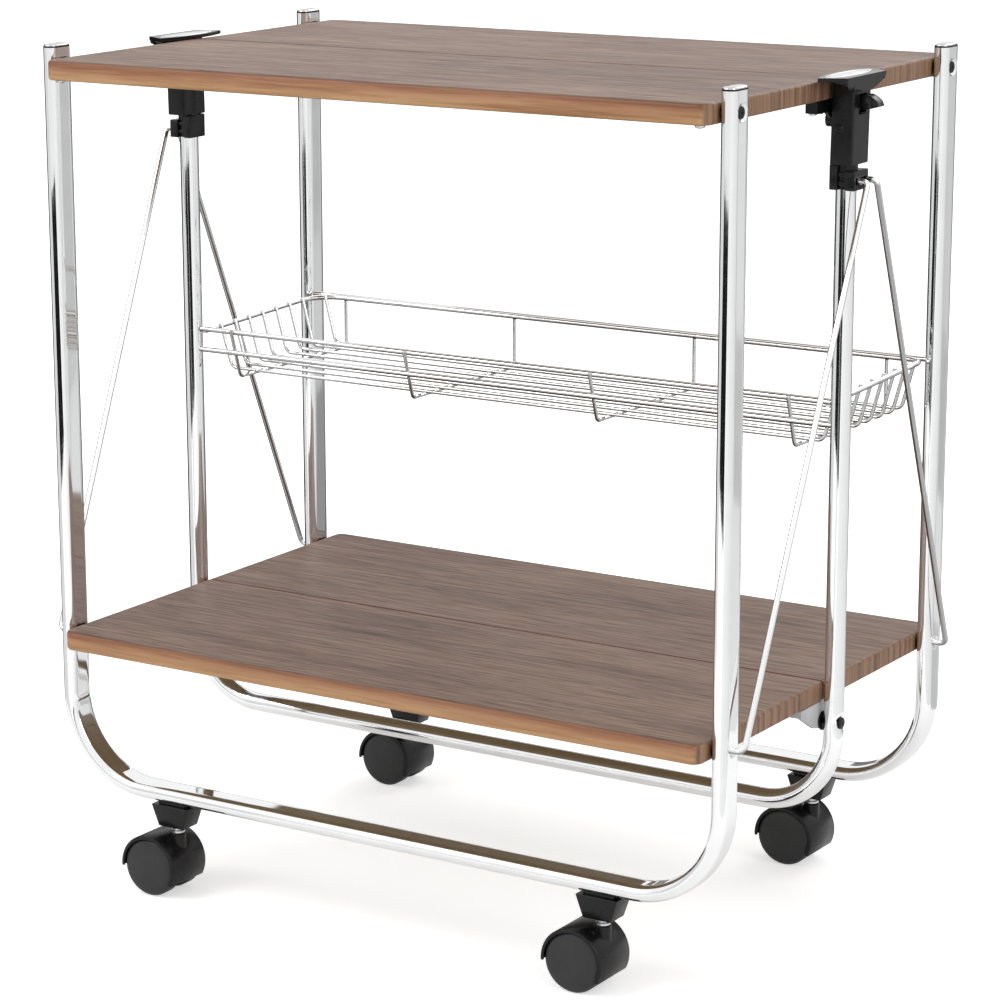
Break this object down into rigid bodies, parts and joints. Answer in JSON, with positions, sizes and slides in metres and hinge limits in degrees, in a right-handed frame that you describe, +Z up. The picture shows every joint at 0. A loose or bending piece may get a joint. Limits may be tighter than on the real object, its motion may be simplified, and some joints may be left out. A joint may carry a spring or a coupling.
{
  "type": "serving trolley",
  "caption": "Folding serving trolley with chromed tube frames, split walnut shelves, a wire basket, side handles and twin-wheel castors.",
  "frame": {"origin": "on the floor under the middle of the opened trolley", "axes": "+X along the length, to the right seen from the front; -Y towards the front; +Z up"},
  "size_m": [0.685, 0.405, 0.7058],
  "materials": {
    "chrome_tube": "polished chrome plate on steel tube",
    "chrome_wire": "bright chrome plate on steel wire",
    "cap_chrome": "metallised plastic",
    "walnut_board": "satin walnut foil on board",
    "grey_plastic": "satin moulded",
    "black_plastic": "satin moulded, fine grain",
    "wheel_plastic": "satin moulded",
    "zinc_steel": "zinc plated",
    "black_steel": "black oxide, satin",
    "silver_insert": "brushed, clear lacquer"
  },
  "bodies": {
    "front_frame": {"front_frame_tube": "chrome_tube", "front_end_caps": "cap_chrome", "front_castor_sockets": "black_plastic", "front_pivot_screws": "black_steel", "front_spacers": "black_plastic"},
    "rear_frame": {"rear_frame_tube": "chrome_tube", "rear_end_caps": "cap_chrome", "rear_castor_sockets": "black_plastic", "rear_pivot_screws": "black_steel", "rear_spacers": "black_plastic"},
    "front_top_leaf": {"front_top_board": "walnut_board", "front_top_brackets": "black_plastic", "front_top_board_screws": "zinc_steel"},
    "rear_top_leaf": {"rear_top_board": "walnut_board", "rear_top_brackets": "black_plastic", "rear_top_board_screws": "zinc_steel"},
    "front_lower_leaf": {"front_lower_board": "walnut_board", "front_lower_brackets": "grey_plastic", "front_lower_board_screws": "zinc_steel"},
    "rear_lower_leaf": {"rear_lower_board": "walnut_board", "rear_lower_brackets": "grey_plastic", "rear_lower_board_screws": "zinc_steel"},
    "middle_frame": {"middle_frame_tube": "chrome_tube", "left_handle_housing": "black_plastic", "right_handle_housing": "black_plastic", "left_handle_pad": "black_plastic", "right_handle_pad": "black_plastic", "handle_inserts": "silver_insert", "housing_screws": "black_steel", "hinge_fasteners": "black_steel", "lever_pins": "black_steel", "lever_springs": "black_steel"},
    "left_slide": {"left_slider": "black_plastic"},
    "left_lever": {"left_release_lever": "black_plastic"},
    "right_slide": {"right_slider": "black_plastic"},
    "right_lever": {"right_release_lever": "black_plastic"},
    "front_left_stay": {"front_left_strut": "chrome_wire"},
    "front_right_stay": {"front_right_strut": "chrome_wire"},
    "rear_left_stay": {"rear_left_strut": "chrome_wire"},
    "rear_right_stay": {"rear_right_strut": "chrome_wire"},
    "basket": {"basket_rim": "chrome_wire", "basket_pivot_wire": "chrome_wire", "basket_long_wires": "chrome_wire", "basket_cross_wires": "chrome_wire"},
    "front_left_castor": {"front_left_castor_hood": "black_plastic", "front_left_castor_stem": "zinc_steel", "front_left_castor_axle": "zinc_steel"},
    "front_left_wheels": {"front_left_castor_wheels": "wheel_plastic"},
    "front_right_castor": {"front_right_castor_hood": "black_plastic", "front_right_castor_stem": "zinc_steel", "front_right_castor_axle": "zinc_steel"},
    "front_right_wheels": {"front_right_castor_wheels": "wheel_plastic"},
    "rear_left_castor": {"rear_left_castor_hood": "black_plastic", "rear_left_castor_stem": "zinc_steel", "rear_left_castor_axle": "zinc_steel"},
    "rear_left_wheels": {"rear_left_castor_wheels": "wheel_plastic"},
    "rear_right_castor": {"rear_right_castor_hood": "black_plastic", "rear_right_castor_stem": "zinc_steel", "rear_right_castor_axle": "zinc_steel"},
    "rear_right_wheels": {"rear_right_castor_wheels": "wheel_plastic"}
  },
  "joints": [
    {"name": "fold", "type": "hinge", "parent": "front_frame", "child": "front_top_leaf", "pos_m": [0, -0.176, 0.686], "axis": [1, 0, 0], "range_deg": [0, 82]},
    {"name": "top_seam_front", "type": "hinge", "parent": "front_top_leaf", "child": "middle_frame", "pos_m": [0, 0, 0.662], "axis": [1, 0, 0], "range_deg": [-83, 1]},
    {"name": "top_seam_rear", "type": "hinge", "parent": "middle_frame", "child": "rear_top_leaf", "pos_m": [0, 0, 0.662], "axis": [1, 0, 0], "range_deg": [-83, 1]},
    {"name": "rear_post_pivot", "type": "hinge", "parent": "rear_top_leaf", "child": "rear_frame", "pos_m": [0, 0.176, 0.686], "axis": [1, 0, 0], "range_deg": [-1, 83]},
    {"name": "front_lower_pivot", "type": "hinge", "parent": "front_frame", "child": "front_lower_leaf", "pos_m": [0, -0.176, 0.212], "axis": [1, 0, 0], "range_deg": [-1, 83]},
    {"name": "rear_lower_pivot", "type": "hinge", "parent": "rear_frame", "child": "rear_lower_leaf", "pos_m": [0, 0.176, 0.212], "axis": [1, 0, 0], "range_deg": [-83, 1]},
    {"name": "basket_pivot", "type": "hinge", "parent": "rear_frame", "child": "basket", "pos_m": [0, 0.176, 0.45], "axis": [1, 0, 0], "range_deg": [-83, 1]},
    {"name": "front_left_stay_pivot", "type": "hinge", "parent": "front_frame", "child": "front_left_stay", "pos_m": [0, -0.176, 0.212], "axis": [1, 0, 0], "range_deg": [-1, 18.5]},
    {"name": "rear_left_stay_pivot", "type": "hinge", "parent": "rear_frame", "child": "rear_left_stay", "pos_m": [0, 0.176, 0.212], "axis": [1, 0, 0], "range_deg": [-18.5, 1]},
    {"name": "left_slide_travel", "type": "slide", "parent": "middle_frame", "child": "left_slide", "axis": [0, 0, 1], "range_m": [-0.166, 0.001]},
    {"name": "front_right_stay_pivot", "type": "hinge", "parent": "front_frame", "child": "front_right_stay", "pos_m": [0, -0.176, 0.212], "axis": [1, 0, 0], "range_deg": [-1, 18.5]},
    {"name": "rear_right_stay_pivot", "type": "hinge", "parent": "rear_frame", "child": "rear_right_stay", "pos_m": [0, 0.176, 0.212], "axis": [1, 0, 0], "range_deg": [-18.5, 1]},
    {"name": "right_slide_travel", "type": "slide", "parent": "middle_frame", "child": "right_slide", "axis": [0, 0, 1], "range_m": [-0.166, 0.001]},
    {"name": "left_lever_press", "type": "hinge", "parent": "middle_frame", "child": "left_lever", "pos_m": [-0.3228, 0, 0.676], "axis": [0, -1, 0], "range_deg": [0, 12], "stiffness_Nm_per_rad": 0.2},
    {"name": "right_lever_press", "type": "hinge", "parent": "middle_frame", "child": "right_lever", "pos_m": [0.3228, 0, 0.676], "axis": [0, 1, 0], "range_deg": [0, 12], "stiffness_Nm_per_rad": 0.2},
    {"name": "front_left_swivel", "type": "hinge", "parent": "front_frame", "child": "front_left_castor", "pos_m": [-0.206, -0.176, 0.055], "axis": [0, 0, 1], "continuous": true},
    {"name": "front_left_roll", "type": "hinge", "parent": "front_left_castor", "child": "front_left_wheels", "pos_m": [-0.222, -0.176, 0.025], "axis": [0, 1, 0], "continuous": true},
    {"name": "front_right_swivel", "type": "hinge", "parent": "front_frame", "child": "front_right_castor", "pos_m": [0.206, -0.176, 0.055], "axis": [0, 0, 1], "continuous": true},
    {"name": "front_right_roll", "type": "hinge", "parent": "front_right_castor", "child": "front_right_wheels", "pos_m": [0.19, -0.176, 0.025], "axis": [0, 1, 0], "continuous": true},
    {"name": "rear_left_swivel", "type": "hinge", "parent": "rear_frame", "child": "rear_left_castor", "pos_m": [-0.206, 0.176, 0.055], "axis": [0, 0, 1], "continuous": true},
    {"name": "rear_left_roll", "type": "hinge", "parent": "rear_left_castor", "child": "rear_left_wheels", "pos_m": [-0.222, 0.176, 0.025], "axis": [0, 1, 0], "continuous": true},
    {"name": "rear_right_swivel", "type": "hinge", "parent": "rear_frame", "child": "rear_right_castor", "pos_m": [0.206, 0.176, 0.055], "axis": [0, 0, 1], "continuous": true},
    {"name": "rear_right_roll", "type": "hinge", "parent": "rear_right_castor", "child": "rear_right_wheels", "pos_m": [0.19, 0.176, 0.025], "axis": [0, 1, 0], "continuous": true}
  ],
  "couplings": [
    {"joint": "top_seam_front", "follows": "fold", "ratio": -1},
    {"joint": "top_seam_rear", "follows": "fold", "ratio": -1},
    {"joint": "rear_post_pivot", "follows": "fold", "ratio": 1},
    {"joint": "front_lower_pivot", "follows": "fold", "ratio": 1},
    {"joint": "rear_lower_pivot", "follows": "fold", "ratio": -1},
    {"joint": "basket_pivot", "follows": "fold", "ratio": -1},
    {"joint": "front_left_stay_pivot", "follows": "fold", "ratio": 0.2096},
    {"joint": "rear_left_stay_pivot", "follows": "fold", "ratio": -0.2096},
    {"joint": "left_slide_travel", "follows": "fold", "m_per_rad": -0.11447},
    {"joint": "front_right_stay_pivot", "follows": "fold", "ratio": 0.2096},
    {"joint": "rear_right_stay_pivot", "follows": "fold", "ratio": -0.2096},
    {"joint": "right_slide_travel", "follows": "fold", "m_per_rad": -0.11447}
  ]
}
